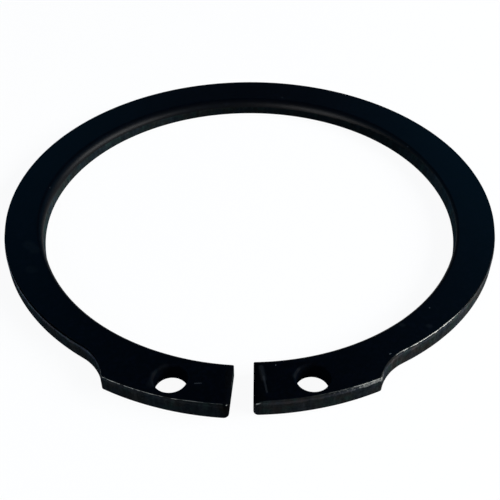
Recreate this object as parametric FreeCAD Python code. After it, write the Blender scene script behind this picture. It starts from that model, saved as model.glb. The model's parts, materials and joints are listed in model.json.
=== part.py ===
import FreeCAD, Part
import math
import os

# External snap ring, stamped from flat spring steel in one piece.
# Millimetres. +Z is the ring's axis, and the gap between the two ends faces -Y.
# The origin is the centre of the bore, on the underside.

# The free ring
bore_diameter = 32.2
thickness = 1.27

# Radial width of the tapered band: opposite the gap, at the sides, and where it would reach the gap
back_width = 3.86
side_width = 3.14
front_width = 1.8

# The left arm has sprung open by this much at its end
left_arm_spread = 0.29

# The lugs: height above the bore, angle of their back corners from the gap, and the hollow flank behind each
lug_height = 3.41
lug_angle = 27.0
flank_radius = 3.8
lug_corner_radius = 0.2

# The plier holes: how far above the bore and at what angle from the gap they lie in the lugs
hole_diameter = 2.15
hole_height = 1.88
hole_angle = 14.4

# The two ends: distance from the centre line at the bore, and lean away from it
left_end_offset = 0.57
right_end_offset = 0.69
left_end_lean = 3.6
right_end_lean = 0.9
end_corner_radius = 0.35

# The punch pulled down the top edge of each end: depth, and width at the bore and at the rim
end_roll_depth = 0.28
left_end_roll_at_bore = 0.5
left_end_roll_at_rim = 0.3
right_end_roll_at_bore = 0.35
right_end_roll_at_rim = 0.8

# Sheared edges: under the top face the rim breaks away, and the punch rolls over the other edges
break_height = 0.35
break_depth = 0.09
rim_roll_radius = 0.08
bore_roll_radius = 0.28
hole_roll_radius = 0.16

# How far the cutting tools reach past the plate, and into the narrow gap
overshoot = 2.0
gap_overshoot = 0.5

# Handle length, as a share of the radius, of the curve that draws a quarter of a circle or an oval
quarter_handle = 0.5523

bore_radius = bore_diameter / 2
lug_radius = bore_radius + lug_height
outer_radius = bore_radius + side_width
outer_centre_y = back_width - side_width
arm_radius = bore_radius + front_width + outer_centre_y
origin = (0.0, 0.0)
up = FreeCAD.Vector(0, 0, 1)
right = 1
left = -1


def spread(side):
    return left_arm_spread if side == left else 0.0


def end_offset(side):
    return left_end_offset if side == left else right_end_offset


def end_lean(side):
    return math.radians(left_end_lean if side == left else right_end_lean)


def end_roll_widths(side):
    if side == left:
        return left_end_roll_at_bore, left_end_roll_at_rim
    return right_end_roll_at_bore, right_end_roll_at_rim


# Both arms are worked out in plan as the right one. The left one is mirrored when its points are placed.

def polar(centre, radius, angle):
    return centre[0] + radius * math.cos(angle), centre[1] + radius * math.sin(angle)


def direction(start, end):
    return math.atan2(end[1] - start[1], end[0] - start[0])


def circles_meet(centre_a, radius_a, centre_b, radius_b):
    """Where two circles meet, to the left of the way from the first centre to the second."""
    apart = math.dist(centre_a, centre_b)
    along = (apart ** 2 + radius_a ** 2 - radius_b ** 2) / (2 * apart)
    return polar(centre_a, radius_a, direction(centre_a, centre_b) + math.acos(along / radius_a))


def vector(side, place, z):
    return FreeCAD.Vector(side * place[0], place[1], z)


def line(side, start, end, z):
    return Part.LineSegment(vector(side, start, z), vector(side, end, z)).toShape()


def arc(side, centre, radius, start, end, z):
    places = [polar(centre, radius, angle) for angle in (start, (start + end) / 2, end)]
    return Part.Arc(*[vector(side, place, z) for place in places]).toShape()


def rim_arcs(side, inset):
    """Centre, radius, start and end angle of each arc of an arm's rim, from the back round to the gap."""
    front_radius = arm_radius + spread(side)
    front_centre = (outer_radius - front_radius, outer_centre_y)
    rim_radius = lug_radius + spread(side)
    corner_reach = rim_radius - lug_corner_radius
    back_corner = polar(origin, rim_radius, math.radians(lug_angle - 90))
    flank_centre = circles_meet(front_centre, front_radius + flank_radius, back_corner, flank_radius)
    corner_centre = circles_meet(flank_centre, flank_radius + lug_corner_radius, origin, corner_reach)
    front_end = direction(front_centre, flank_centre)
    flank_end = direction(flank_centre, corner_centre)
    lug_start = direction(origin, corner_centre)
    return [
        ((0.0, outer_centre_y), outer_radius - inset, math.pi / 2, 0.0),
        (front_centre, front_radius - inset, 0.0, front_end),
        (flank_centre, flank_radius + inset, front_end + math.pi, flank_end),
        (corner_centre, lug_corner_radius - inset, flank_end - math.pi, lug_start),
        (origin, rim_radius - inset, lug_start, -math.pi / 2),
    ]


def half_disc_wire(side, inset, z):
    """The rim of one arm, closed along the centre line."""
    rim = [arc(side, *each, z) for each in rim_arcs(side, inset)]
    back = (0.0, outer_centre_y + outer_radius - inset)
    front = (0.0, -(lug_radius + spread(side) - inset))
    return Part.Wire(rim + [line(side, front, back, z)])


def half_disc(side):
    """Half of the blank: an upright rim with its lower edge rolled over, and the break above it."""
    break_start = thickness - break_height
    plate = Part.Face(half_disc_wire(side, 0.0, 0.0)).extrude(up * break_start)
    lower_edges = [edge for edge in plate.Edges if edge.BoundBox.ZMax < break_start / 2]
    lower_rim = [edge for edge in lower_edges if edge.Curve.TypeId == "Part::GeomCircle"]
    plate = plate.makeFillet(min(rim_roll_radius, break_start / 2), lower_rim)
    wires = [half_disc_wire(side, 0.0, break_start), half_disc_wire(side, break_depth, thickness)]
    return plate.fuse(Part.makeLoft(wires, True, True))


def end_face_start(side):
    """Where an end face leaves the bore."""
    from_bore_centre = end_offset(side) + spread(side)
    return end_offset(side), -math.sqrt((bore_radius + spread(side)) ** 2 - from_bore_centre ** 2)


def end_corner_centre(side):
    """Centre of the rounding between an end face and the rim, found along a line inside the end face."""
    lean = end_lean(side)
    inside = polar(end_face_start(side), end_corner_radius, lean)
    outward = (math.sin(lean), -math.cos(lean))
    nearest = -(inside[0] * outward[0] + inside[1] * outward[1])
    reach = lug_radius + spread(side) - end_corner_radius
    along = nearest + math.sqrt(nearest ** 2 + reach ** 2 - math.hypot(*inside) ** 2)
    return inside[0] + along * outward[0], inside[1] + along * outward[1]


def window_side(side, z):
    """One side of the opening: the bore, the end face, its corner and the way out past the rim."""
    bore_centre = (-spread(side), 0.0)
    face_start = end_face_start(side)
    corner = end_corner_centre(side)
    lean = end_lean(side)
    outward = direction(origin, corner)
    return [
        arc(side, origin, bore_radius, math.pi / 2, 0.0, z),
        arc(side, bore_centre, bore_radius + spread(side), 0.0, direction(bore_centre, face_start), z),
        line(side, face_start, polar(corner, end_corner_radius, lean + math.pi), z),
        arc(side, corner, end_corner_radius, lean - math.pi, outward, z),
        line(side, polar(corner, end_corner_radius, outward), polar(corner, overshoot, outward), z),
    ]


def window():
    """The bore and the gap, which one punch cuts out of the blank."""
    sides = [window_side(side, -overshoot) for side in (right, left)]
    ends = [edges[-1].Vertexes[-1].Point for edges in sides]
    outline = Part.Wire(sides[0] + [Part.LineSegment(*ends).toShape()] + sides[1][::-1])
    return Part.Face(outline).extrude(up * (thickness + 2 * overshoot))


def hole_centre(side):
    return polar(origin, bore_radius + spread(side) + hole_height, math.radians(hole_angle - 90))


def plier_hole(side):
    foot = vector(side, hole_centre(side), -overshoot)
    return Part.makeCylinder(hole_diameter / 2, thickness + 2 * overshoot, foot)


def edge_roll(centre, radius, roll, start, sweep):
    """What the rolled-over top edge of a bore lacks: the corner outside a quarter circle, turned round."""
    lift = roll * (1 - math.sqrt(0.5))
    places = [
        (radius, thickness - roll),
        (radius + lift, thickness - lift),
        (radius + roll, thickness),
        (radius + roll, thickness + overshoot),
        (radius - roll, thickness + overshoot),
        (radius - roll, thickness - roll),
    ]
    wall, middle, face, *rest = [FreeCAD.Vector(centre[0] + x, centre[1], z) for x, z in places]
    quarter = Part.Arc(wall, middle, face).toShape()
    profile = Part.Wire([quarter] + Part.makePolygon([face, *rest, wall]).Edges)
    foot = FreeCAD.Vector(*centre, 0)
    profile.rotate(foot, up, start)
    return Part.Face(profile).revolve(foot, up, sweep)


def end_roll_profile(side, along, width):
    """Section across an end face at a distance from the bore: what lies above a quarter of an oval."""
    start = end_face_start(side)
    lean = end_lean(side)
    foot = (start[0] + along * math.sin(lean), start[1] - along * math.cos(lean))
    low = thickness - end_roll_depth
    high = thickness + overshoot
    places = [
        (0.0, low),
        (0.0, low + quarter_handle * end_roll_depth),
        (width * (1 - quarter_handle), thickness),
        (width, thickness),
        (width, high),
        (-gap_overshoot, high),
        (-gap_overshoot, low),
    ]
    points = [vector(side, polar(foot, inward, lean), z) for inward, z in places]
    oval = Part.BezierCurve()
    oval.setPoles(points[:4])
    return Part.Wire([oval.toShape()] + Part.makePolygon(points[3:] + points[:1]).Edges)


def end_roll(side):
    """What the pulled-down top edge of an end lacks."""
    width_at_bore, width_at_rim = end_roll_widths(side)
    length = math.dist(end_face_start(side), end_corner_centre(side)) + end_corner_radius
    widening = (width_at_rim - width_at_bore) / length
    profiles = []
    for along in (-gap_overshoot, length + gap_overshoot):
        profiles.append(end_roll_profile(side, along, width_at_bore + widening * along))
    return Part.makeLoft(profiles, True, True)


blank = half_disc(right).fuse(half_disc(left)).removeSplitter()
punches = [window()]
rolls = [
    edge_roll(origin, bore_radius, bore_roll_radius, -90, 270),
    edge_roll((left_arm_spread, 0.0), bore_radius + left_arm_spread, bore_roll_radius, 180, 90),
]
for side in (right, left):
    hole_x, hole_y = hole_centre(side)
    punches.append(plier_hole(side))
    rolls.append(edge_roll((side * hole_x, hole_y), hole_diameter / 2, hole_roll_radius, 0, 360))
    rolls.append(end_roll(side))
snap_ring = blank.cut(punches)
for roll in rolls:
    snap_ring = snap_ring.cut(roll)

os.makedirs("parts", exist_ok=True)
snap_ring.exportStep("parts/snap_ring.step")
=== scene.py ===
import json
import math
from dataclasses import dataclass, field

import bmesh
import bpy
from mathutils import Matrix, Vector


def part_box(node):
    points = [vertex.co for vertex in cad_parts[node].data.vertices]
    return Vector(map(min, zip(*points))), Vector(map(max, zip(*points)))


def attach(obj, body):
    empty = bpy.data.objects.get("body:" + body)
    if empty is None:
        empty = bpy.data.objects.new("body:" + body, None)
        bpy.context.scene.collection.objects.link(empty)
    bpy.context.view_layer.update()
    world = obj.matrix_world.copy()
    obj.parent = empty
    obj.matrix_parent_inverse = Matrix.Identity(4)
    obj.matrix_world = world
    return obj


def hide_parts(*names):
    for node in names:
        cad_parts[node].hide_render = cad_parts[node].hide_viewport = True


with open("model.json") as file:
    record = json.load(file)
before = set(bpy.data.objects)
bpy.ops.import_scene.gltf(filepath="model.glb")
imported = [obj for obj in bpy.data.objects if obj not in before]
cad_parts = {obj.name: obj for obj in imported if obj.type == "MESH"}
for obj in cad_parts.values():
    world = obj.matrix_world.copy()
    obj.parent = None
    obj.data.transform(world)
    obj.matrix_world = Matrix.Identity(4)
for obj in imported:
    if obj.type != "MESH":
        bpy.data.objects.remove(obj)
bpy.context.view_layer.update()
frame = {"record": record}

bl_info = {
    "name": "Snap Ring",
    "version": (1, 0, 0),
    "blender": (4, 5, 0),
    "location": "View3D > Sidebar > Snap Ring",
    "description": "A phosphated snap ring of stamped spring steel, lying on a white studio floor",
    "category": "Object",
}

# Metres, in the frame's own axes: the ring lies flat, and the gap between its ends faces -Y.
MM = 0.001
NODE = "snap_ring"

mounts = {mount["name"]: mount for mount in frame["record"]["mounts"]}
node_low, node_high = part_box(NODE)


def mount_place(name):
    return Vector(mounts[name]["pos_m"][:2])


def mount_radius(name):
    return mounts[name]["dims"]["r_mm"] * MM


bore_radius = mount_radius("shaft_groove")
right_hole = mount_place("right_plier_hole")
left_hole = mount_place("left_plier_hole")
left_spread = left_hole.length - right_hole.length
thickness = node_high.z - node_low.z
outer_radius = node_high.x
outer_centre = Vector((0.0, node_high.y - outer_radius))
origin = Vector((0.0, 0.0))


# Sizes, finishes and studio settings that a user would change

def number(description, default, **settings):
    return bpy.props.FloatProperty(description=description, default=default, **settings)


def numbers(description, default, **settings):
    return bpy.props.FloatVectorProperty(description=description, default=default, **settings)


def length(description, millimetres):
    return number(description, millimetres * MM, unit="LENGTH", precision=5)


def lengths(description, left, right):
    """A length of each arm."""
    values = (left * MM, right * MM)
    return numbers(description + ", left and right", values, size=2, unit="LENGTH", precision=5)


def angles(description, left, right):
    """An angle of each arm."""
    values = (math.radians(left), math.radians(right))
    return numbers(description + ", left and right", values, size=2, unit="ROTATION")


def angle(description, degrees):
    return number(description, math.radians(degrees), subtype="ANGLE")


def share(description, default):
    return number(description, default, min=0.0, max=1.0)


def colour(description, default):
    return numbers(description, default, subtype="COLOR", min=0.0, max=1.0)


def title(name):
    """A property's name as the panel and the node trees show it."""
    return name.replace("_", " ").title()


class RingSizes(bpy.types.PropertyGroup):
    """Sizes of the ring that the frame's record doesn't give"""

    front_width: length("Radial width that the tapered band would have at the gap", 1.8)
    lug_height: length("Radial height of the lugs above the bore", 3.41)
    lug_angle: angle("Angle from the gap to a lug's back corner", 27.0)
    flank_radius: length("Radius of the hollow behind each lug", 3.8)
    lug_corner: length("Radius of a lug's back corner", 0.2)
    ends: lengths("Distance of each end from the centre line, at the bore", 0.57, 0.69)
    leans: angles("Lean of each end away from the gap", 3.6, 0.9)
    end_corner: length("Radius of the corner between an end and the rim", 0.35)
    end_roll: length("Depth to which the punch pulled down the ends' upper edges", 0.28)
    rolls_at_bore: lengths("Width of each end's rolled edge at the bore", 0.5, 0.35)
    rolls_at_rim: lengths("Width of each end's rolled edge at the rim", 0.3, 0.8)
    break_height: length("Height of the torn band below the rim's upper edge", 0.35)
    break_depth: length("How far the torn band leans in at the upper edge", 0.09)
    break_wander: share("How much the torn band's height changes along the rim", 0.35)
    foot_roll: length("Radius of the rim's rolled lower edge", 0.08)
    bore_roll: length("Radius of the bore's rolled upper edge in the front arms", 0.28)
    back_roll: length("Radius of the bore's rolled upper edge opposite the gap", 0.72)
    roll_grows: angles("Angle from the gap where the bore's roll starts to grow", 50.0, 105.0)
    roll_growth: angle("Angle over which the bore's roll grows to its full radius", 55.0)
    hole_roll: length("Radius of the plier holes' rolled upper edges", 0.16)
    worn_edge: length("Radius to which the sharp edges are worn", 0.035)
    wall_ripple: length("Height of the ripples that shearing left on the walls", 0.012)
    spacing: length("Distance between two points of the outline", 0.28)
    levels: bpy.props.IntProperty(description="Contours from the lower face to the upper one", default=30)


class RingFinish(bpy.types.PropertyGroup):
    """Colours of the phosphated steel, some with painted light and shade"""

    face: colour("Oiled phosphate on the flat faces", (0.0001, 0.0002, 0.0007))
    mottle: colour("Thinner phosphate, in fine spots on the faces", (0.0003, 0.0007, 0.0021))
    wall: colour("Phosphate on the sheared walls", (0.0095, 0.0107, 0.0115))
    streak: colour("Lighter streaks down the sheared walls", (0.018, 0.019, 0.0205))
    # Partly painted light: the torn band's paler phosphate, made paler still where it stands in for light
    # caught from above-left
    torn: colour("Phosphate on the band under the rim's upper edge", (0.095, 0.085, 0.105))
    # Painted light: a blue-green cast of the studio's light, laid on the bore's walls
    bore_light_cast: colour("Blue-green cast of the phosphate in the bore", (0.8, 0.97, 1.0))
    # Partly painted shade: the holes' unworn phosphate, made darker still to stand in for the shade inside
    # them
    hole: colour("Unworn phosphate inside the plier holes", (0.0011, 0.0017, 0.0032))
    # Painted shade: this dark colour on the ends' pulled-down edges stands in for the shade in the narrow
    # gap between them
    end: colour("Phosphate on the ends' pulled-down edges", (0.0009, 0.0013, 0.0021))
    bare: colour("Steel where the phosphate has worn off", (0.42, 0.41, 0.37))
    # Also the colour of painted sheen beside the plier holes and of a painted highlight on the right end
    speck: colour("Dust and worn spots in the oil", (0.07, 0.078, 0.085))
    bore_share: share("Part of the bore's roll with the face's finish in the front arms", 0.5)
    back_share: share("Part of the bore's roll with the face's finish opposite the gap", 0.8)
    hole_share: share("Part of the holes' rolls with the face's finish", 0.1)


class StudioSettings(bpy.types.PropertyGroup):
    """Camera, floor, sky and lamps"""

    camera_place: numbers("Where the camera stands", (1.39 * MM, -50.25 * MM, 40.37 * MM), unit="LENGTH")
    camera_turn: angle("Direction in which the camera looks, from +Y towards -X", 1.54)
    camera_dip: angle("How far the camera looks down from the horizon", 41.0)
    camera_roll: angle("How far the camera leans to one side", -0.13)
    focal_length: number("Focal length in millimetres", 57.6)
    floor_colour: colour("White floor", (0.7, 0.7, 0.7))
    floor_bounce: colour("Light that the floor casts on the ring", (0.25, 0.26, 0.28))
    floor_glow: share("Share of the floor's brightness that takes no shadow", 0.93)
    zenith: colour("Dim ceiling of the studio", (0.003, 0.007, 0.018))
    horizon: colour("Paler walls of the studio, just above the floor", (0.2, 0.21, 0.23))
    side: colour("Bluish light at the studio's right and, weaker, at its left", (0.02, 0.34, 0.66))


# The outline in plan. Each arm is worked out as the right one, and the left one is mirrored.

LUG_CORNER_STEPS = 4
HOLE_DIVISION = 12
END_CORNER_STEP = math.pi / 20

# How far from a corner its walls slide, in widths of the roll, and how fast this fades over the end
SLIDE_REACH = 2.2
END_FADE = 2.2


@dataclass
class Station:
    """A point of the outline, and how it moves as the walls lean in towards a face."""

    plan: Vector
    side_in: Vector
    end_in: Vector = field(default_factory=lambda: Vector((0.0, 0.0)))
    corner_in: Vector = field(default_factory=lambda: Vector((0.0, 0.0)))
    corner_radius: float = 0.0
    end_roll: float = 0.0
    rim: float = 0.0
    bore: float = 0.0
    hole: float = 0.0
    worn: float = 0.0
    back: float = 0.0

    def mirror(self):
        for vector in (self.plan, self.side_in, self.end_in, self.corner_in):
            vector.x = -vector.x


@dataclass
class Arm:
    """What differs between the two arms."""

    spread: float
    end: float
    lean: float
    roll_at_bore: float
    roll_at_rim: float
    roll_grows: float


def polar(centre, radius, angle):
    return Vector(centre) + radius * Vector((math.cos(angle), math.sin(angle)))


def unit(angle):
    return polar(origin, 1.0, angle)


def direction(start, end):
    return math.atan2(end[1] - start[1], end[0] - start[0])


def quarter_turn(vector):
    return Vector((-vector.y, vector.x))


def dual_vectors(first, second):
    """Two vectors, each of which moves a corner along one wall, square to the other wall's normal."""
    first_way = quarter_turn(second)
    second_way = quarter_turn(first)
    return first_way / first_way.dot(first), second_way / second_way.dot(second)


def circles_meet(centre_a, radius_a, centre_b, radius_b):
    """Where two circles meet, to the left of the way from the first centre to the second."""
    apart = (centre_b - centre_a).length
    along = (apart ** 2 + radius_a ** 2 - radius_b ** 2) / (2 * apart)
    return polar(centre_a, radius_a, direction(centre_a, centre_b) + math.acos(along / radius_a))


def arc_stations(centre, radius, start, end, spacing, hollow=False, **wall):
    count = max(2, math.ceil(abs(end - start) * radius / spacing))
    stations = []
    for step in range(count + 1):
        outward = unit(start + (end - start) * step / count)
        side_in = outward.copy() if hollow else -outward
        stations.append(Station(Vector(centre) + radius * outward, side_in, **wall))
    return stations


def rim_stations(sizes, arm, lug_end):
    """The rim of an arm, from the back round to the angle at which the end's corner starts."""
    front_radius = bore_radius + sizes.front_width + outer_centre.y + arm.spread
    front_centre = Vector((outer_radius - front_radius, outer_centre.y))
    rim_radius = bore_radius + sizes.lug_height + arm.spread
    back_corner = polar(origin, rim_radius, sizes.lug_angle - math.pi / 2)
    flank = sizes.flank_radius
    flank_centre = circles_meet(front_centre, front_radius + flank, back_corner, flank)
    corner = sizes.lug_corner
    corner_centre = circles_meet(flank_centre, flank + corner, origin, rim_radius - corner)
    front_end = direction(front_centre, flank_centre)
    flank_end = direction(flank_centre, corner_centre)
    lug_start = direction(origin, corner_centre)
    spacing = sizes.spacing
    corner_spacing = corner / LUG_CORNER_STEPS
    rim = {"rim": 1.0, "worn": 1.0}
    stretches = [
        arc_stations(outer_centre, outer_radius, math.pi / 2, 0.0, spacing, **rim),
        arc_stations(front_centre, front_radius, 0.0, front_end, spacing, **rim),
        arc_stations(flank_centre, flank, front_end + math.pi, flank_end, spacing, hollow=True, **rim),
        arc_stations(corner_centre, corner, flank_end - math.pi, lug_start, corner_spacing, **rim),
        arc_stations(origin, rim_radius, lug_start, lug_end, spacing, **rim),
    ]
    return stretches[0] + [station for stretch in stretches[1:] for station in stretch[1:]]


def bore_stations(sizes, arm, start):
    """The bore of an arm, from its end round to the back."""
    bore = {"hollow": True, "bore": 1.0}
    stretches = [
        arc_stations((-arm.spread, 0.0), bore_radius + arm.spread, start, 0.0, sizes.spacing, **bore),
        arc_stations(origin, bore_radius, 0.0, math.pi / 2, sizes.spacing, **bore),
    ]
    stations = stretches[0] + stretches[1][1:]
    for station in stations:
        from_gap = math.atan2(station.plan.x, -station.plan.y)
        reach = (from_gap - arm.roll_grows) / sizes.roll_growth
        reach = min(max(reach, 0.0), 1.0)
        station.back = reach * reach * (3.0 - 2.0 * reach)
    return stations


def slide_with_corner(stations, corner, turn, radius, end_roll):
    """Lets the stations beside a corner slide along their wall as the end's roll takes the corner back."""
    reach = SLIDE_REACH * end_roll + radius
    for station in stations:
        nearness = max(0.0, 1.0 - (station.plan - corner).length / reach)
        if nearness > 0.0:
            slide = turn * nearness * quarter_turn(station.side_in)
            station.plan = station.plan - slide * radius
            station.end_in = slide
            station.corner_in = slide.copy()
            station.corner_radius = radius
            station.end_roll = end_roll


def end_stations(sizes, arm, face_start, face_end, inward, outward):
    """The flat end of an arm, from its corner at the rim to the bore."""
    face = face_start - face_end
    count = math.ceil(face.length / (sizes.spacing / 2))
    radius = sizes.end_corner
    stations = []
    for step in range(1, count):
        place = face_end + face * step / count
        run = face.length * step / count
        rest = face.length - run
        width = arm.roll_at_rim + (arm.roll_at_bore - arm.roll_at_rim) * step / count
        by_rim = run < rest
        nearness = max(0.0, 1.0 - END_FADE * min(run, rest) / face.length)
        slide = nearness * (-outward if by_rim else outward)
        side = {"rim": float(by_rim), "bore": float(not by_rim)}
        station = Station(place, slide, end_in=inward.copy(), end_roll=width, **side)
        if by_rim:
            station.plan = place - slide * radius
            station.corner_in = slide.copy()
            station.corner_radius = radius
        stations.append(station)
    return stations


def arm_stations(sizes, arm, side):
    """One arm's outline, from the back of the rim round its end to the back of the bore."""
    radius = sizes.end_corner
    inward = unit(arm.lean)
    outward = -quarter_turn(inward)
    bore_centre = Vector((-arm.spread, 0.0))
    arm_bore = bore_radius + arm.spread
    face_start = Vector((arm.end, -math.sqrt(arm_bore ** 2 - (arm.end + arm.spread) ** 2)))
    inside = face_start + radius * inward
    nearest = -inside.dot(outward)
    reach = bore_radius + sizes.lug_height + arm.spread - radius
    along = nearest + math.sqrt(nearest ** 2 + reach ** 2 - inside.length_squared)
    corner_centre = inside + outward * along
    face_end = corner_centre - radius * inward

    lug_end = direction(origin, corner_centre)
    rim = rim_stations(sizes, arm, lug_end)
    slide_with_corner(rim, rim[-1].plan.copy(), -1.0, radius, arm.roll_at_rim)

    rim_in, end_in = dual_vectors(-corner_centre.normalized(), inward)
    sharp_corner = corner_centre - (rim_in + end_in) * radius
    corner = []
    for station in arc_stations(origin, 1.0, lug_end, arm.lean - math.pi, END_CORNER_STEP)[1:]:
        ways = (rim_in.copy(), end_in.copy(), rim_in + end_in - station.side_in)
        corner.append(Station(sharp_corner.copy(), *ways, radius, arm.roll_at_rim, rim=1.0))

    face = end_stations(sizes, arm, face_start, face_end, inward, outward)

    bore = bore_stations(sizes, arm, direction(bore_centre, face_start))
    slide_with_corner(bore, face_start.copy(), 1.0, 0.0, arm.roll_at_bore)
    bore_in, end_in = dual_vectors(bore[0].side_in, inward)
    bore[0] = Station(face_start.copy(), bore_in, end_in=end_in, end_roll=arm.roll_at_bore, bore=1.0)

    stations = rim + corner + face + bore
    if side < 0:
        for station in stations:
            station.mirror()
    return stations


def outline_loops(sizes):
    """The three closed loops of the outline: the C-shaped band and the two plier holes."""
    spreads = (left_spread, 0.0)
    pairs = (spreads, sizes.ends, sizes.leans, sizes.rolls_at_bore, sizes.rolls_at_rim, sizes.roll_grows)
    left, right = (Arm(*values) for values in zip(*pairs))
    band = arm_stations(sizes, right, 1) + arm_stations(sizes, left, -1)[-2:0:-1]
    loops = [band]
    for name in ("right_plier_hole", "left_plier_hole"):
        radius = mount_radius(name)
        spacing = radius / HOLE_DIVISION
        hole = arc_stations(mount_place(name), radius, 0.0, 2 * math.pi, spacing, hollow=True, hole=1.0)
        loops.append(hole[:-1])
    return loops


def outline_mesh(sizes):
    """The outline as a mesh of edges, with each station's values as attributes of its vertex."""
    loops = outline_loops(sizes)
    stations = [station for loop in loops for station in loop]
    edges = []
    start = 0
    for loop in loops:
        edges += [(start + step, start + (step + 1) % len(loop)) for step in range(len(loop))]
        start += len(loop)
    mesh = bpy.data.meshes.new("ring_outline")
    mesh.from_pydata([station.plan.to_3d() for station in stations], edges, [])
    for name in ("plan", "side_in", "end_in", "corner_in"):
        values = [part for station in stations for part in getattr(station, name).to_3d()]
        mesh.attributes.new(name, "FLOAT_VECTOR", "POINT").data.foreach_set("vector", values)
    for name in ("corner_radius", "end_roll", "rim", "bore", "hole", "worn", "back"):
        values = [getattr(station, name) for station in stations]
        mesh.attributes.new(name, "FLOAT", "POINT").data.foreach_set("value", values)
    return mesh


# Node trees

class Tree:
    """Adds nodes to a tree. An input is a socket to link or a value to set, under its place or its name."""

    def __init__(self, tree):
        self.tree = tree

    def add(self, kind, inputs=None, **settings):
        node = self.tree.nodes.new(kind)
        for name, value in settings.items():
            setattr(node, name, value)
        for key, value in (inputs or {}).items():
            self.feed(node.inputs[key], value)
        return node

    def feed(self, socket, value):
        if isinstance(value, bpy.types.NodeSocket):
            self.tree.links.new(value, socket)
        else:
            socket.default_value = value

    def math(self, operation, *values, **settings):
        node = self.add("ShaderNodeMath", dict(enumerate(values)), operation=operation, **settings)
        return node.outputs[0]

    def plus(self, *values, **settings):
        return self.math("ADD", *values, **settings)

    def minus(self, *values, **settings):
        return self.math("SUBTRACT", *values, **settings)

    def times(self, *values):
        return self.math("MULTIPLY", *values)

    def scale_add(self, value, factor, offset):
        return self.math("MULTIPLY_ADD", value, factor, offset)

    def compare(self, operation, first, second):
        return self.add("FunctionNodeCompare", {0: first, 1: second}, operation=operation).outputs[0]

    def vector(self, operation, *values):
        node = self.add("ShaderNodeVectorMath", dict(enumerate(values)), operation=operation)
        return node.outputs["Value" if operation in ("DOT_PRODUCT", "LENGTH", "DISTANCE") else "Vector"]

    def scaled(self, vector, factor):
        node = self.add("ShaderNodeVectorMath", {0: vector, "Scale": factor}, operation="SCALE")
        return node.outputs["Vector"]

    def shape(self, kind, inputs, **settings):
        """The geometry that a geometry node puts out."""
        return self.add("GeometryNode" + kind, inputs, **settings).outputs["Geometry"]

    def split(self, vector):
        return self.add("ShaderNodeSeparateXYZ", {0: vector}).outputs

    def upwards(self, height):
        return self.add("ShaderNodeCombineXYZ", {"Z": height}).outputs[0]

    def attribute(self, name, data_type="FLOAT"):
        node = self.add("GeometryNodeInputNamedAttribute", {"Name": name}, data_type=data_type)
        return node.outputs["Attribute"]

    def painted(self, name):
        return self.add("ShaderNodeAttribute", attribute_name=name).outputs["Fac"]

    def group(self, tree, inputs):
        return self.add(self.tree.bl_idname.replace("Tree", "Group"), inputs, node_tree=tree).outputs

    def bump(self, height, strength, distance):
        made = {"Strength": strength, "Distance": distance, "Height": height}
        return self.add("ShaderNodeBump", made).outputs["Normal"]

    def noise(self, vector, scale, detail=2.0, roughness=0.5):
        """A noise with a scale in features per millimetre."""
        inputs = {"Vector": vector, "Scale": scale / MM, "Detail": detail, "Roughness": roughness}
        return self.add("ShaderNodeTexNoise", inputs).outputs["Fac"]

    def map(self, value, low, high, to_low=0.0, to_high=1.0, smooth=False):
        kind = "SMOOTHSTEP" if smooth else "LINEAR"
        inputs = {"Value": value, "From Min": low, "From Max": high, "To Min": to_low, "To Max": to_high}
        return self.add("ShaderNodeMapRange", inputs, interpolation_type=kind).outputs["Result"]

    def mix(self, factor, first, second, blend="MIX"):
        inputs = {"Factor": factor, 6: first, 7: second}
        return self.add("ShaderNodeMix", inputs, data_type="RGBA", blend_type=blend).outputs[2]

    def tinted(self, colour, tint):
        return self.mix(1.0, colour, tint, "MULTIPLY")

    def principled(self, inputs):
        shader = self.add("ShaderNodeBsdfPrincipled", inputs)
        self.add("ShaderNodeOutputMaterial", {"Surface": shader.outputs["BSDF"]})


def new_group(name, kind, inputs, outputs):
    """A node group. Returns the tree's helper, what the group is given and where its results go."""
    group = bpy.data.node_groups.new(name, kind)
    for label, socket, default in inputs:
        made = group.interface.new_socket(label, in_out="INPUT", socket_type="NodeSocket" + socket)
        if default is not None:
            made.default_value = default
    for label, socket in outputs:
        group.interface.new_socket(label, in_out="OUTPUT", socket_type="NodeSocket" + socket)
    tree = Tree(group)
    return tree, tree.add("NodeGroupInput").outputs, tree.add("NodeGroupOutput").inputs


# Scales of the noises that move the walls, and how far the ripples are drawn out down a wall
WANDER_SCALE = 0.35
RIPPLE_SCALE = 0.9
RIPPLE_STRETCH = 0.15

# The smallest share of an end's corner that its roll leaves
LEAST_CORNER = 0.1

# A station is beside an end where its end roll is wider than this
LEAST_END_ROLL = 0.01 * MM

# How exactly a level's height is met, how near two points are one, and the bend of a sharp edge
LEVEL_TOLERANCE = 0.0005 * MM
WELD_DISTANCE = 0.0001 * MM
SHARP_BEND = math.radians(40)

# The ring tree's inputs, by the names of their values
WALL_SIZES = (
    "thickness", "break_height", "break_depth", "break_wander", "foot_roll", "bore_roll", "back_roll",
    "hole_roll", "end_roll", "worn_edge", "wall_ripple",
)
FACE_SHARES = ("bore_share", "back_share", "hole_share")


def float_inputs(names):
    return [(title(name), "Float", None) for name in names]


def rolled_edge_group():
    """How far a rolled edge stands back, at a distance below it."""
    inputs = float_inputs(("height", "width", "distance"))
    tree, given, result = new_group("rolled_edge", "GeometryNodeTree", inputs, [("Inset", "Float")])
    fraction = tree.math("DIVIDE", given["Distance"], given["Height"])
    across = tree.minus(1.0, fraction, use_clamp=True)
    drop = tree.math("SQRT", tree.minus(1.0, tree.math("POWER", across, 2.0)))
    inset = tree.times(given["Width"], tree.minus(1.0, drop))
    tree.feed(result["Inset"], inset)
    return tree.tree


def grown(tree, in_front, at_back):
    """A value of the bore's rolled edge, which changes from the front arms to the back."""
    change = tree.minus(at_back, in_front)
    return tree.scale_add(tree.attribute("back"), change, in_front)


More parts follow.
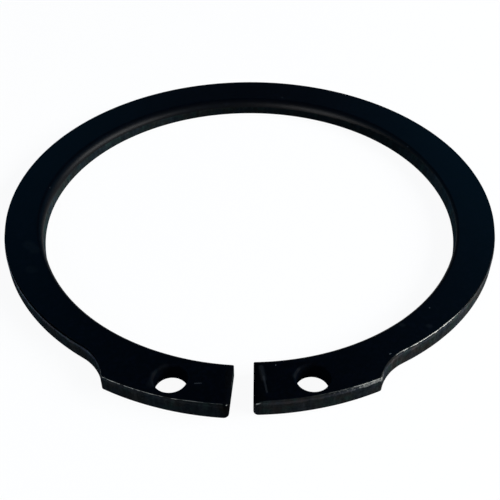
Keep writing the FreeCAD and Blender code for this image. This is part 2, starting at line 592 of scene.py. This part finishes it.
def contour_group(rolled_edge):
    """Where each station of the outline lies at a height above the lower face."""
    inputs = float_inputs(("height",) + WALL_SIZES)
    tree, size, result = new_group("wall_contour", "GeometryNodeTree", inputs, [("Position", "Vector")])
    height = size["Height"]
    from_top = tree.minus(size["Thickness"], height)

    def oval_roll(tall, wide, distance):
        return tree.group(rolled_edge, {"Height": tall, "Width": wide, "Distance": distance})["Inset"]

    def roll(radius, distance):
        return oval_roll(radius, radius, distance)

    plan = tree.attribute("plan", "FLOAT_VECTOR")
    wander = tree.minus(tree.noise(plan, WANDER_SCALE, 3.0), 0.5)
    stretch = tree.scale_add(wander, tree.times(size["Break Wander"], 2.0), 1.0)
    torn_height = tree.times(size["Break Height"], stretch)
    torn = tree.minus(1.0, tree.math("DIVIDE", from_top, torn_height), use_clamp=True)
    worn_top = roll(size["Worn Edge"], from_top)
    worn_foot = roll(size["Worn Edge"], height)
    rim = tree.scale_add(torn, size["Break Depth"], worn_top)
    rim = tree.plus(rim, roll(size["Foot Roll"], height))
    bore_roll = grown(tree, size["Bore Roll"], size["Back Roll"])
    bore = tree.plus(worn_foot, roll(bore_roll, from_top))
    hole = tree.plus(worn_foot, roll(size["Hole Roll"], from_top))
    end = tree.plus(worn_foot, oval_roll(size["End Roll"], tree.attribute("end_roll"), from_top))

    upright = tree.upwards(tree.times(height, RIPPLE_STRETCH))
    ripple = tree.minus(tree.noise(tree.vector("ADD", plan, upright), RIPPLE_SCALE, 2.0), 0.5)
    side = tree.times(ripple, size["Wall Ripple"])
    for inset, wall in ((rim, "rim"), (bore, "bore"), (hole, "hole")):
        side = tree.scale_add(inset, tree.attribute(wall), side)

    radius = tree.attribute("corner_radius")
    left_over = tree.minus(radius, tree.math("MAXIMUM", side, end))
    corner = tree.math("MAXIMUM", left_over, tree.times(radius, LEAST_CORNER))
    place = plan
    for name, amount in (("side_in", side), ("end_in", end), ("corner_in", corner)):
        place = tree.vector("ADD", place, tree.scaled(tree.attribute(name, "FLOAT_VECTOR"), amount))
    tree.feed(result["Position"], tree.vector("ADD", place, tree.upwards(height)))
    return tree.tree


def stamped_ring_tree():
    """Raises the outline to the upper face, contour by contour, and closes both faces."""
    inputs = [("Geometry", "Geometry", None), ("Levels", "Int", None)]
    inputs += float_inputs(WALL_SIZES + FACE_SHARES)
    inputs += [("Face Material", "Material", None), ("Wall Material", "Material", None)]
    tree, given, result = new_group("stamped_ring", "GeometryNodeTree", inputs, [("Geometry", "Geometry")])
    contour = contour_group(rolled_edge_group())
    outline = given["Geometry"]
    plate = given["Thickness"]

    def contour_at(height):
        made = {"Height": height, **{title(name): given[title(name)] for name in WALL_SIZES}}
        return tree.group(contour, made)["Position"]

    def level_height(level):
        """Levels crowd towards both faces, where the edges are rolled."""
        turn = tree.times(tree.math("DIVIDE", level, given["Levels"]), math.pi)
        rise = tree.scale_add(tree.math("COSINE", turn), -0.5, 0.5)
        return tree.times(rise, plate)

    def moved(geometry, position, selection=True):
        made = {"Geometry": geometry, "Selection": selection, "Position": position}
        return tree.shape("SetPosition", made)

    repeat_in = tree.tree.nodes.new("GeometryNodeRepeatInput")
    repeat_out = tree.tree.nodes.new("GeometryNodeRepeatOutput")
    repeat_in.pair_with_output(repeat_out)
    tree.feed(repeat_in.inputs["Iterations"], given["Levels"])
    tree.feed(repeat_in.inputs["Geometry"], moved(outline, contour_at(0.0)))
    step = repeat_in.outputs["Iteration"]
    position = tree.add("GeometryNodeInputPosition").outputs[0]
    reached = tree.split(position)["Z"]
    just_below = tree.minus(level_height(step), LEVEL_TOLERANCE)
    on_top = tree.compare("GREATER_THAN", reached, just_below)
    extrusion = {"Mesh": repeat_in.outputs["Geometry"], "Selection": on_top, "Offset Scale": 0.0}
    raised = tree.add("GeometryNodeExtrudeMesh", extrusion, mode="EDGES")
    next_height = level_height(tree.plus(step, 1.0))
    lifted = moved(raised.outputs["Mesh"], contour_at(next_height), raised.outputs["Top"])
    tree.feed(repeat_out.inputs["Geometry"], lifted)

    def face_at(height):
        loops = moved(outline, contour_at(height))
        curve = tree.add("GeometryNodeMeshToCurve", {"Mesh": loops}).outputs["Curve"]
        flat = tree.add("GeometryNodeFillCurve", {"Curve": curve}, mode="TRIANGLES").outputs["Mesh"]
        made = {"Geometry": flat, "Offset": tree.upwards(height)}
        raised_face = tree.shape("SetPosition", made)
        return with_material(raised_face, given["Face Material"], False)

    def with_material(geometry, material, smooth):
        made = {"Geometry": geometry, "Shade Smooth": smooth}
        shaded = tree.shape("SetShadeSmooth", made, domain="FACE")
        made = {"Geometry": shaded, "Material": material}
        return tree.shape("SetMaterial", made)

    walls = with_material(repeat_out.outputs["Geometry"], given["Wall Material"], True)
    hole_depth = tree.times(given["Hole Roll"], given["Hole Share"])
    bore_share = grown(tree, given["Bore Share"], given["Back Share"])
    bore_roll = grown(tree, given["Bore Roll"], given["Back Roll"])
    bore_depth = tree.times(bore_roll, bore_share)
    depth = tree.times(tree.attribute("hole"), hole_depth)
    depth = tree.scale_add(tree.attribute("bore"), bore_depth, depth)
    beside_end = tree.math("LESS_THAN", tree.attribute("end_roll"), LEAST_END_ROLL)
    depth = tree.times(depth, beside_end)
    from_top = tree.minus(plate, tree.split(position)["Z"])
    is_rolled = tree.compare("LESS_THAN", from_top, depth)
    made = {"Geometry": walls, "Selection": is_rolled, "Material": given["Face Material"]}
    walls = tree.shape("SetMaterial", made)
    lower = tree.add("GeometryNodeFlipFaces", {"Mesh": face_at(0.0)}).outputs["Mesh"]
    joined = tree.add("GeometryNodeJoinGeometry")
    for part in (walls, lower, face_at(plate)):
        tree.tree.links.new(part, joined.inputs["Geometry"])
    made = {"Geometry": joined.outputs["Geometry"], "Distance": WELD_DISTANCE}
    welded = tree.shape("MergeByDistance", made)
    bend = tree.add("GeometryNodeInputMeshEdgeAngle").outputs["Unsigned Angle"]
    is_sharp = tree.compare("GREATER_THAN", bend, SHARP_BEND)
    made = {"Geometry": welded, "Selection": is_sharp, "Shade Smooth": False}
    creased = tree.shape("SetShadeSmooth", made, domain="EDGE")
    tree.feed(result["Geometry"], tree.shape("RealizeInstances", {"Geometry": creased}))
    return tree.tree


def plain_mesh(outline, tree, values):
    """Runs a tree on the outline's mesh and returns the result as a plain mesh."""
    holder = bpy.data.objects.new(outline.name, outline)
    bpy.context.scene.collection.objects.link(holder)
    modifier = holder.modifiers.new(tree.name, "NODES")
    modifier.node_group = tree
    for item in tree.interface.items_tree:
        if item.in_out == "INPUT" and item.name in values:
            modifier[item.identifier] = values[item.name]
    graph = bpy.context.evaluated_depsgraph_get()
    shaped = holder.evaluated_get(graph)
    mesh = bpy.data.meshes.new_from_object(shaped, preserve_all_data_layers=True, depsgraph=graph)
    bpy.data.objects.remove(holder)
    return mesh


def turn_faces_outwards(mesh):
    work = bmesh.new()
    work.from_mesh(mesh)
    bmesh.ops.recalc_face_normals(work, faces=work.faces)
    work.to_mesh(mesh)
    work.free()


# Finishes: the noises' scales, in features per millimetre

GRAIN_SCALE = 11.0
SPOT_SCALE = 3.4
PATCH_SCALE = 0.5
HUE_SCALE = 2.1
WARM_SCALE = 0.8
GREEN_SCALE = 1.3
SHADE_SCALE = 2.6
SPECK_SCALE = 1.1
EDGE_SCALE = 1.7
BAND_SCALE = 1.6
BAND_GRAIN_SCALE = 5.0
STREAK_SCALE = 4.0
STREAK_STRETCH = 0.12

# Only cells above this chance hold a speck
SPECK_CHANCE = 0.93

# The casts of the walls' blotches
BLUE_CAST = (0.88, 0.98, 1.08, 1.0)
WARM_CAST = (1.14, 1.0, 0.86, 1.0)
GREEN_CAST = (0.82, 1.14, 0.98, 1.0)

WHITE = (1.0, 1.0, 1.0, 1.0)
BLACK = (0.0, 0.0, 0.0, 1.0)

# Gloss of the faces, of the edges rolled down from them and of the walls, covered and bare, and their bumps
FACE_SPECULAR = 0.06
FACE_ROUGHNESS = (0.34, 0.4)
ROLL_ROUGHNESS = 0.07
WALL_ROUGHNESS = (0.6, 0.4)
BARE_METALLIC = 0.5

FACE_BUMP = (0.15, 0.003 * MM)
WALL_BUMP = (0.35, 0.01 * MM)
ROLL_GLOSS_DEPTH = 0.06 * MM

# How far the bare edge reaches below the lip, where the torn band is bare and pale, and the soft ends
EDGE_REACH = 0.1 * MM
EDGE_BLUR = 0.02 * MM
BAND_REACH = (0.22 * MM, 0.36 * MM)
BAND_BLUR = 0.05 * MM
PALLOR_START = (0.1 * MM, 0.19 * MM)

# Single marks: the part of the radius with full strength, the length of a dot, and how far they fade in the
# holes and at these depths of the end rolls
MARK_CORE = 0.3
DOT_LENGTH_SQUARED = 1e-12
MARK_FADE = -0.85
MARK_FADE_DEPTHS = (0.05 * MM, 0.08 * MM)


def new_material(name):
    material = bpy.data.materials.new(name)
    material.use_nodes = True
    material.node_tree.nodes.clear()
    return material, Tree(material.node_tree)


def opaque(value):
    return (*value, 1.0)


PLACE = [("Place", "Vector", None)]


def phosphate_group():
    """Grain, mottling and tint of the phosphate at a place in the object's own space."""
    masks = [(name, "Float") for name in ("Grain", "Mottle", "Speck")]
    outputs = masks + [("Tint", "Color"), ("Blotch", "Color")]
    tree, given, result = new_group("phosphate_texture", "ShaderNodeTree", PLACE, outputs)
    place = given["Place"]
    tree.feed(result["Grain"], tree.noise(place, GRAIN_SCALE, 4.0, 0.6))
    fine = tree.noise(place, SPOT_SCALE, 4.0, 0.7)
    broad = tree.noise(place, PATCH_SCALE, 3.0, 0.6)
    spots = tree.times(tree.map(fine, 0.46, 0.72), tree.map(broad, 0.35, 0.65, 0.35, 1.0))
    tree.feed(result["Mottle"], spots)
    made = {"Vector": place, "Scale": HUE_SCALE / MM, "Detail": 3.0}
    hues = tree.add("ShaderNodeTexNoise", made).outputs["Color"]
    doubled = tree.tinted(hues, (2.0, 2.0, 2.0, 1.0))
    tree.feed(result["Tint"], tree.mix(0.45, WHITE, doubled))
    warm = tree.map(tree.noise(place, WARM_SCALE, 3.0, 0.6), 0.4, 0.6)
    green = tree.map(tree.noise(place, GREEN_SCALE, 3.0, 0.6), 0.5, 0.66)
    blotch = tree.mix(green, tree.mix(warm, BLUE_CAST, WARM_CAST), GREEN_CAST)
    uneven = tree.map(tree.noise(place, SHADE_SCALE, 3.0, 0.7), 0.3, 0.7, 0.7, 1.3)
    tree.feed(result["Blotch"], tree.tinted(blotch, uneven))
    cells = tree.add("ShaderNodeTexVoronoi", {"Vector": place, "Scale": SPECK_SCALE / MM}).outputs
    chance = tree.add("ShaderNodeSeparateColor", {0: cells["Color"]}).outputs[0]
    chosen = tree.math("GREATER_THAN", chance, SPECK_CHANCE)
    dot = tree.map(cells["Distance"], 0.03, 0.09, 0.35, 0.0, smooth=True)
    tree.feed(result["Speck"], tree.times(chosen, dot))
    return tree.tree


# By the angle from the gap in degrees: bare steel on the rim's sharp upper edge
EDGE_WEAR = (
    (-180, 0.03), (-80, 0.05), (-30, 0.08), (-26.5, 0.7), (-12, 0.48), (-8, 0.2), (-3, 0.15), (3, 0.03),
    (14, 0.1), (20, 0.3), (24, 0.65), (26.2, 0.8), (26.8, 0.15), (28, 0.05), (32.5, 0.08), (33.5, 0.6),
    (40, 0.9), (48, 1.0), (52, 0.4), (60, 0.05), (180, 0.03),
)

# Bare steel on the torn band below that edge
BAND_WEAR = (
    (-180, 0.02), (-27, 0.02), (-20, 0.03), (2, 0.03), (4, 0.14), (12, 0.2), (19, 0.5), (25, 0.85),
    (27.5, 0.9), (28.5, 0.05), (180, 0.02),
)

# How much of the torn band's paler colour shows: paler phosphate, and painted light where the band catches
# light from above-left, strongest on the left around -85 degrees
BAND_PALLOR_AND_LIGHT = (
    (-180, 0.1), (-110, 0.4), (-85, 1.0), (-70, 0.8), (-50, 0.35), (-30, 0.3), (-25, 0.06), (-3, 0.05),
    (3, 0.1), (26, 0.15), (30, 0.15), (60, 0.1), (90, 0.1), (180, 0.1),
)

# Painted light and shade: how many times lighter than its colour the rim's wall is, lighter where light
# falls on it and darker where it doesn't, as at the left end's corner
PAINTED_RIM_LIGHT = (
    (-180, 1.0), (-110, 1.6), (-80, 4.0), (-62, 1.9), (-50, 1.5), (-27, 1.2), (-14, 1.05), (-8, 0.64),
    (-3.6, 0.72), (-2.9, 0.2), (-1, 0.2), (1, 0.9), (26, 1.0), (32, 1.3), (45, 1.15), (60, 1.8),
    (90, 1.8), (120, 1.2), (180, 1.0),
)

# Painted light and shade: how many times lighter than its colour the bore's wall is, following how light
# falls along the bore, darkest at the back
PAINTED_BORE_LIGHT = (
    (-180, 0.5), (-160, 0.5), (-140, 0.9), (-115, 0.95), (-95, 1.7), (0, 1.8), (88, 2.6), (104, 2.0),
    (116, 1.1), (125, 0.7), (150, 0.5), (180, 0.5),
)

# Height in millimetres of the unworn lip above the worn edge
LIP = (
    (-180, 0.1), (-90, 0.12), (-40, 0.13), (-27, 0.06), (-14, 0.05), (-9, 0.0), (18, 0.0), (24, 0.01),
    (34, 0.005), (49, 0.008), (60, 0.07), (90, 0.1), (180, 0.1),
)

# The largest factor in the two tables of painted light and shade
TOP_PAINTED_LIGHT = 4.0

# Single specks and scratches, and a few painted highlights and sheens, in millimetres: two ends, radius and
# how much they show
MARKS_AND_SHEEN = (
    ((2.11, -16.45, 1.27), (2.11, -16.45, 1.27), 0.05, 0.8),
    ((9.51, -15.34, 1.27), (9.56, -15.30, 1.27), 0.06, 0.5),
    ((0.88, -19.46, 1.02), (1.33, -19.32, 1.17), 0.07, 0.4),
    ((1.33, -19.32, 1.17), (2.0, -19.27, 1.22), 0.05, 0.25),
    ((-0.88, -19.69, 1.18), (-0.78, -19.62, 1.14), 0.09, 1.0),
    ((-2.95, -18.07, 1.27), (-2.55, -18.04, 1.27), 0.06, 0.16),
    ((-2.12, -16.29, 1.27), (-1.62, -16.34, 1.27), 0.05, 0.3),
    ((-1.45, -16.36, 1.27), (-1.14, -16.38, 1.27), 0.05, 0.4),
    ((9.57, -15.36, 1.22), (9.74, -15.52, 1.1), 0.06, 0.07),
    ((9.74, -15.52, 1.1), (9.66, -15.68, 0.9), 0.05, 0.05),
    # Painted highlight: a faint line where the right end's rolled edge meets the face
    ((1.17, -16.64, 1.27), (1.35, -17.60, 1.27), 0.24, 0.06),
    ((1.34, -17.40, 1.27), (1.57, -18.65, 1.27), 0.09, 0.08),
    ((-16.53, -4.99, 1.27), (-15.84, -5.66, 1.27), 0.55, 0.014),
    ((-15.73, -7.76, 1.27), (-15.48, -7.86, 1.27), 0.5, 0.011),
    ((10.56, -12.73, 1.27), (10.66, -12.73, 1.27), 0.25, 0.025),
    ((12.36, -12.78, 1.27), (12.46, -12.78, 1.27), 0.25, 0.025),
    # Painted sheen: faint arcs on the face at the upper left of the left plier hole
    ((-5.65, -18.19, 1.27), (-5.52, -17.38, 1.27), 0.4, 0.025),
    ((-5.52, -17.38, 1.27), (-4.96, -16.70, 1.27), 0.35, 0.015),
    # Painted sheen: faint arcs on the face at the upper left of the right plier hole
    ((3.36, -17.33, 1.27), (3.65, -16.83, 1.27), 0.28, 0.04),
    ((3.65, -16.83, 1.27), (4.04, -16.57, 1.27), 0.25, 0.025),
)


def along_rim(tree, from_gap, points, top=1.0):
    """A value from 0 to the top one, which changes along the rim by straight lines between points."""
    curve = tree.add("ShaderNodeFloatCurve", {"Value": tree.map(from_gap, -math.pi, math.pi)})
    line = curve.mapping.curves[0].points
    line[0].location = (0.0, points[0][1] / top)
    line[-1].location = (1.0, points[-1][1] / top)
    for degrees, value in points[1:-1]:
        line.new((degrees + 180) / 360, value / top)
    for point in line:
        point.handle_type = "VECTOR"
    curve.mapping.update()
    return tree.times(curve.outputs[0], top)


def wear_and_light_group():
    """How far the phosphate has worn off the rim's upper edge and torn band, and the painted light and
    shade on each wall.
    """
    inputs = PLACE + [("From Top", "Float", None)]
    outputs = [(name, "Float") for name in ("Lip", "Edge", "Band", "Pallor", "Rim Painted Light", "Bore Painted Light")]
    tree, given, result = new_group("rim_wear_and_light", "ShaderNodeTree", inputs, outputs)
    place = given["Place"]
    from_top = given["From Top"]
    split = tree.split(place)
    from_gap = tree.math("ARCTAN2", split["X"], tree.times(split["Y"], -1.0))
    lip = tree.times(along_rim(tree, from_gap, LIP), MM)
    from_lip = tree.minus(from_top, lip)
    tree.feed(result["Lip"], tree.map(from_lip, -0.5 * EDGE_BLUR, EDGE_BLUR, 1.0, 0.0))

    edge_amount = along_rim(tree, from_gap, EDGE_WEAR)
    broken = tree.noise(place, EDGE_SCALE, 4.0, 0.75)
    reach = tree.times(tree.map(broken, 0.36, 0.62, 0.0, EDGE_REACH), edge_amount)
    edge = tree.map(tree.minus(reach, from_lip), 0.0, EDGE_BLUR)
    tree.feed(result["Edge"], tree.times(edge, tree.math("SQRT", edge_amount)))

    band_amount = along_rim(tree, from_gap, BAND_WEAR)
    limit = tree.map(tree.noise(place, BAND_SCALE, 3.0), 0.3, 0.7, *BAND_REACH)
    inside = tree.map(tree.minus(limit, from_top), 0.0, BAND_BLUR)
    cover = tree.map(band_amount, 0.0, 1.0, 0.72, 0.3)
    grain = tree.minus(tree.noise(place, BAND_GRAIN_SCALE, 4.0, 0.65), cover)
    band = tree.times(tree.map(grain, 0.0, 0.22), inside)
    tree.feed(result["Band"], tree.times(band, band_amount))
    below_edge = tree.times(inside, tree.map(from_top, *PALLOR_START, smooth=True))
    pallor = tree.times(below_edge, along_rim(tree, from_gap, BAND_PALLOR_AND_LIGHT))
    tree.feed(result["Pallor"], pallor)
    for name, shades in (("Rim Painted Light", PAINTED_RIM_LIGHT), ("Bore Painted Light", PAINTED_BORE_LIGHT)):
        tree.feed(result[name], along_rim(tree, from_gap, shades, TOP_PAINTED_LIGHT))
    return tree.tree


def marks_and_sheen_group():
    """Single specks and scratches, and painted sheen and highlights, each drawn along a short line between
    two places.
    """
    tree, given, result = new_group("marks_and_painted_sheen", "ShaderNodeTree", PLACE, [("Mark", "Float")])
    total = 0.0
    for start, end, radius, strength in MARKS_AND_SHEEN:
        start = MM * Vector(start)
        way = MM * Vector(end) - start
        from_start = tree.vector("SUBTRACT", given["Place"], start)
        length_squared = max(way.length_squared, DOT_LENGTH_SQUARED)
        run = tree.vector("DOT_PRODUCT", from_start, way)
        share_along = tree.math("DIVIDE", run, length_squared, use_clamp=True)
        nearest = tree.scaled(tuple(way), share_along)
        apart = tree.vector("DISTANCE", from_start, nearest)
        mark = tree.map(apart, MARK_CORE * radius * MM, radius * MM, strength, 0.0, smooth=True)
        total = tree.plus(mark, total, use_clamp=True)
    tree.feed(result["Mark"], total)
    return tree.tree


def object_place(tree):
    return tree.add("ShaderNodeTexCoord").outputs["Object"]


def face_finish(finish, phosphate, marks):
    """Oiled phosphate on the rolled strip and on the edges that the punch rolled over, with painted sheen
    beside the plier holes.
    """
    material, tree = new_material("phosphated_face")
    place = object_place(tree)
    texture = tree.group(phosphate, {"Place": place})
    base = tree.mix(texture["Mottle"], opaque(finish.face), opaque(finish.mottle))
    base = tree.tinted(base, texture["Tint"])
    # The marks hold specks and scratches, and also painted sheen and a painted highlight
    mark = tree.group(marks, {"Place": place})["Mark"]
    base = tree.mix(tree.math("MAXIMUM", texture["Speck"], mark), base, opaque(finish.speck))
    from_top = tree.minus(thickness, tree.split(place)["Z"])
    rolled = tree.map(from_top, 0.0, ROLL_GLOSS_DEPTH)
    roughness = tree.map(texture["Mottle"], 0.0, 1.0, *FACE_ROUGHNESS)
    tree.principled({
        "Base Color": base,
        "Roughness": tree.scale_add(rolled, ROLL_ROUGHNESS, roughness),
        "Specular IOR Level": FACE_SPECULAR,
        "Normal": tree.bump(texture["Grain"], *FACE_BUMP),
    })
    return material


def wall_finish(finish, phosphate, marks, wear_and_light, end_roll):
    """Sheared steel: streaks down the walls, a torn band under the rim's upper edge, a bright worn edge,
    and painted light and shade on the walls, in the holes and on the ends.
    """
    material, tree = new_material("sheared_wall")
    place = object_place(tree)
    texture = tree.group(phosphate, {"Place": place})
    split = tree.split(place)
    from_top = tree.minus(thickness, split["Z"])
    flat = {"X": split["X"], "Y": split["Y"], "Z": tree.times(split["Z"], STREAK_STRETCH)}
    streaks = tree.noise(tree.add("ShaderNodeCombineXYZ", flat).outputs[0], STREAK_SCALE, 4.0, 0.65)
    rim = tree.painted("worn")
    hole = tree.painted("hole")
    worn = tree.group(wear_and_light, {"Place": place, "From Top": from_top})
    base = tree.mix(tree.map(streaks, 0.42, 0.72), opaque(finish.wall), opaque(finish.streak))
    # Partly painted light: the torn band's paler colour, strongest on the left where it stands in for light
    # from above-left
    base = tree.mix(tree.times(worn["Pallor"], rim), base, opaque(finish.torn))
    outside = tree.painted("rim")
    # Painted light and shade along the rim's and the bore's walls
    base = tree.tinted(base, tree.mix(outside, worn["Bore Painted Light"], worn["Rim Painted Light"]))
    # Painted light: a blue-green cast on the bore's walls
    base = tree.tinted(base, tree.mix(outside, opaque(finish.bore_light_cast), WHITE))
    # Partly painted shade: darker inside the plier holes
    base = tree.mix(hole, base, opaque(finish.hole))
    # Painted shade: a dark colour on the ends' pulled-down edges, which face each other across the narrow
    # gap
    end = tree.math("GREATER_THAN", tree.painted("end_roll"), 0.0)
    end = tree.times(end, tree.math("LESS_THAN", from_top, end_roll))
    end = tree.times(end, tree.minus(1.0, rim))
    base = tree.mix(end, base, opaque(finish.end))
    base = tree.mix(tree.times(worn["Lip"], rim), base, opaque(finish.face))
    base = tree.mix(tree.map(texture["Grain"], 0.35, 0.65, 0.4, 0.0), base, BLACK)
    base = tree.tinted(base, texture["Blotch"])
    # The marks hold specks and scratches, and also painted sheen and a painted highlight
    mark = tree.group(marks, {"Place": place})["Mark"]
    bare = tree.math("MAXIMUM", worn["Edge"], tree.times(worn["Band"], 0.5))
    bare = tree.times(bare, tree.minus(1.0, worn["Lip"]))
    dulled = tree.times(end, tree.map(from_top, *MARK_FADE_DEPTHS, 1.0, 0.0))
    dulled = tree.math("MAXIMUM", dulled, hole)
    mark = tree.times(mark, tree.scale_add(dulled, MARK_FADE, 1.0))
    bare = tree.math("MAXIMUM", tree.times(bare, rim), mark)
    base = tree.mix(bare, base, opaque(finish.bare))
    height = tree.scale_add(texture["Grain"], 0.4, streaks)
    tree.principled({
        "Base Color": base,
        "Metallic": tree.times(bare, BARE_METALLIC),
        "Roughness": tree.map(bare, 0.0, 1.0, *WALL_ROUGHNESS),
        "Specular IOR Level": 0.0,
        "Normal": tree.bump(height, *WALL_BUMP),
    })
    return material


def floor_finish(studio):
    """White floor: mostly plain white where it is seen, and partly lit, so that it keeps a soft shadow."""
    material, tree = new_material("studio_floor")
    glow = tree.add("ShaderNodeEmission", {"Color": WHITE, "Strength": 1.0})
    path = tree.add("ShaderNodeLightPath").outputs
    seen = tree.math("MAXIMUM", path["Is Camera Ray"], path["Is Glossy Ray"])
    seen = tree.math("MAXIMUM", seen, path["Is Transmission Ray"])
    tint = tree.mix(seen, opaque(studio.floor_bounce), opaque(studio.floor_colour))
    diffuse = tree.add("ShaderNodeBsdfDiffuse", {"Color": tint})
    factor = tree.times(seen, studio.floor_glow)
    shader = tree.add("ShaderNodeMixShader", {0: factor, 1: diffuse.outputs[0], 2: glow.outputs[0]})
    tree.add("ShaderNodeOutputMaterial", {"Surface": shader.outputs[0]})
    return material


# Stage

FLOOR_RADIUS = 3.0
FLOOR_SIDES = 96
SENSOR_WIDTH = 36.0

# Name, place, width, height, power in watts, colour, and whether matt and glossy surfaces show it
LAMPS = (
    ("key_lamp", (0.30, -0.02, 0.14), 0.30, 0.14, 2.6, (1.0, 0.99, 0.97), True, True),
    ("fill_lamp", (-0.19, -0.205, 0.138), 0.12, 0.12, 0.23, (0.85, 0.91, 1.0), True, True),
    ("sheen_lamp", (-0.19, -0.205, 0.138), 0.15, 0.15, 1.75, (1.0, 0.97, 0.94), False, True),
    ("top_lamp", (0.03, -0.15, 0.30), 0.16, 0.16, 0.3, (1.0, 1.0, 1.0), True, False),
)


def set_sky(studio):
    """A dim sky, pale at the horizon, with a bluish light at both sides and high on the left."""
    world = bpy.data.worlds.new("studio_sky")
    bpy.context.scene.world = world
    world.use_nodes = True
    world.node_tree.nodes.clear()
    tree = Tree(world.node_tree)
    split = tree.split(tree.add("ShaderNodeTexCoord").outputs["Generated"])
    across = split["X"]
    climb = split["Z"]
    height = tree.map(climb, 0.08, 0.4, smooth=True)
    tint = tree.mix(height, opaque(studio.horizon), opaque(studio.zenith))
    aside = tree.map(tree.math("ABSOLUTE", across), 0.07, 0.28, smooth=True)
    aside = tree.times(aside, tree.map(across, -0.1, 0.1, 0.6, 1.0))
    high_left = tree.times(tree.map(across, -0.5, -0.3, 1.0, 0.0), tree.map(climb, 0.6, 0.8))
    aside = tree.times(aside, tree.scale_add(high_left, 2.0, 1.0))
    aside = tree.times(aside, tree.map(climb, 0.75, 0.95, 1.0, 0.0, smooth=True))
    tint = tree.mix(tree.times(aside, height), tint, opaque(studio.side))
    light = tree.add("ShaderNodeBackground", {"Color": tint, "Strength": 1.0})
    tree.add("ShaderNodeOutputWorld", {"Surface": light.outputs[0]})


def add_floor(studio):
    bpy.ops.mesh.primitive_circle_add(
        vertices=FLOOR_SIDES, radius=FLOOR_RADIUS, fill_type="NGON", location=(0.0, 0.0, node_low.z)
    )
    floor = bpy.context.active_object
    floor.name = "studio_floor"
    floor.data.materials.append(floor_finish(studio))


def add_camera(studio):
    camera = bpy.data.cameras.new("studio_camera")
    camera.lens = studio.focal_length
    camera.sensor_width = SENSOR_WIDTH
    camera.clip_start = 1.0 * MM
    camera.clip_end = 10.0
    holder = bpy.data.objects.new("studio_camera", camera)
    turn = Matrix.Rotation(studio.camera_turn, 4, "Z")
    dip = Matrix.Rotation(math.pi / 2 - studio.camera_dip, 4, "X")
    roll = Matrix.Rotation(studio.camera_roll, 4, "Z")
    holder.matrix_world = Matrix.Translation(studio.camera_place) @ turn @ dip @ roll
    bpy.context.scene.collection.objects.link(holder)
    bpy.context.scene.camera = holder


def add_lamp(name, place, width, height, power, tint, matt, glossy):
    lamp = bpy.data.lights.new(name, "AREA")
    lamp.shape = "RECTANGLE"
    lamp.size = width
    lamp.size_y = height
    lamp.energy = power
    lamp.color = tint
    holder = bpy.data.objects.new(name, lamp)
    holder.location = place
    holder.rotation_euler = (-Vector(place)).to_track_quat("-Z", "Y").to_euler()
    holder.visible_diffuse = matt
    holder.visible_glossy = glossy
    bpy.context.scene.collection.objects.link(holder)


class SNAPRING_OT_add_ring(bpy.types.Operator):
    """Builds the ring from the frame's sizes, in its finish, in place of the frame's own node"""

    bl_idname = "snap_ring.add_ring"
    bl_label = "Add Ring"

    def execute(self, context):
        sizes = context.scene.snap_ring_sizes
        finish = context.scene.snap_ring_finish
        values = {title(name): getattr(sizes, name) for name in WALL_SIZES[1:]}
        values |= {title(name): getattr(finish, name) for name in FACE_SHARES}
        values |= {"Thickness": thickness, "Levels": sizes.levels}
        phosphate = phosphate_group()
        marks = marks_and_sheen_group()
        values["Face Material"] = face_finish(finish, phosphate, marks)
        values["Wall Material"] = wall_finish(finish, phosphate, marks, wear_and_light_group(), sizes.end_roll)
        mesh = plain_mesh(outline_mesh(sizes), stamped_ring_tree(), values)
        if not mesh.polygons:
            raise RuntimeError("the ring's tree gave no faces")
        turn_faces_outwards(mesh)
        mesh.name = "phosphated_ring"
        ring = bpy.data.objects.new("phosphated_ring", mesh)
        context.scene.collection.objects.link(ring)
        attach(ring, "root")
        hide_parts(NODE)
        return {"FINISHED"}


class SNAPRING_OT_set_stage(bpy.types.Operator):
    """Sets up the floor, the sky, the lamps and the camera"""

    bl_idname = "snap_ring.set_stage"
    bl_label = "Set Stage"

    def execute(self, context):
        studio = context.scene.snap_ring_studio
        add_floor(studio)
        set_sky(studio)
        for lamp in LAMPS:
            add_lamp(*lamp)
        add_camera(studio)
        context.scene.view_settings.view_transform = "Standard"
        return {"FINISHED"}


GROUPS = {"snap_ring_sizes": RingSizes, "snap_ring_finish": RingFinish, "snap_ring_studio": StudioSettings}


class SNAPRING_PT_looks(bpy.types.Panel):
    """The ring's sizes and finish, and the stage"""

    bl_label = "Snap Ring"
    bl_idname = "SNAPRING_PT_looks"
    bl_space_type = "VIEW_3D"
    bl_region_type = "UI"
    bl_category = "Snap Ring"

    def draw(self, context):
        for name, group in GROUPS.items():
            box = self.layout.box()
            for setting in group.__annotations__:
                box.prop(getattr(context.scene, name), setting, text=title(setting))
        self.layout.operator(SNAPRING_OT_add_ring.bl_idname)
        self.layout.operator(SNAPRING_OT_set_stage.bl_idname)


CLASSES = (*GROUPS.values(), SNAPRING_OT_add_ring, SNAPRING_OT_set_stage, SNAPRING_PT_looks)


def register():
    for each in CLASSES:
        bpy.utils.register_class(each)
    for name, group in GROUPS.items():
        setattr(bpy.types.Scene, name, bpy.props.PointerProperty(type=group))


def unregister():
    for name in GROUPS:
        delattr(bpy.types.Scene, name)
    for each in reversed(CLASSES):
        bpy.utils.unregister_class(each)


def main():
    register()
    bpy.ops.snap_ring.add_ring()
    bpy.ops.snap_ring.set_stage()


if __name__ == "__main__":
    main()
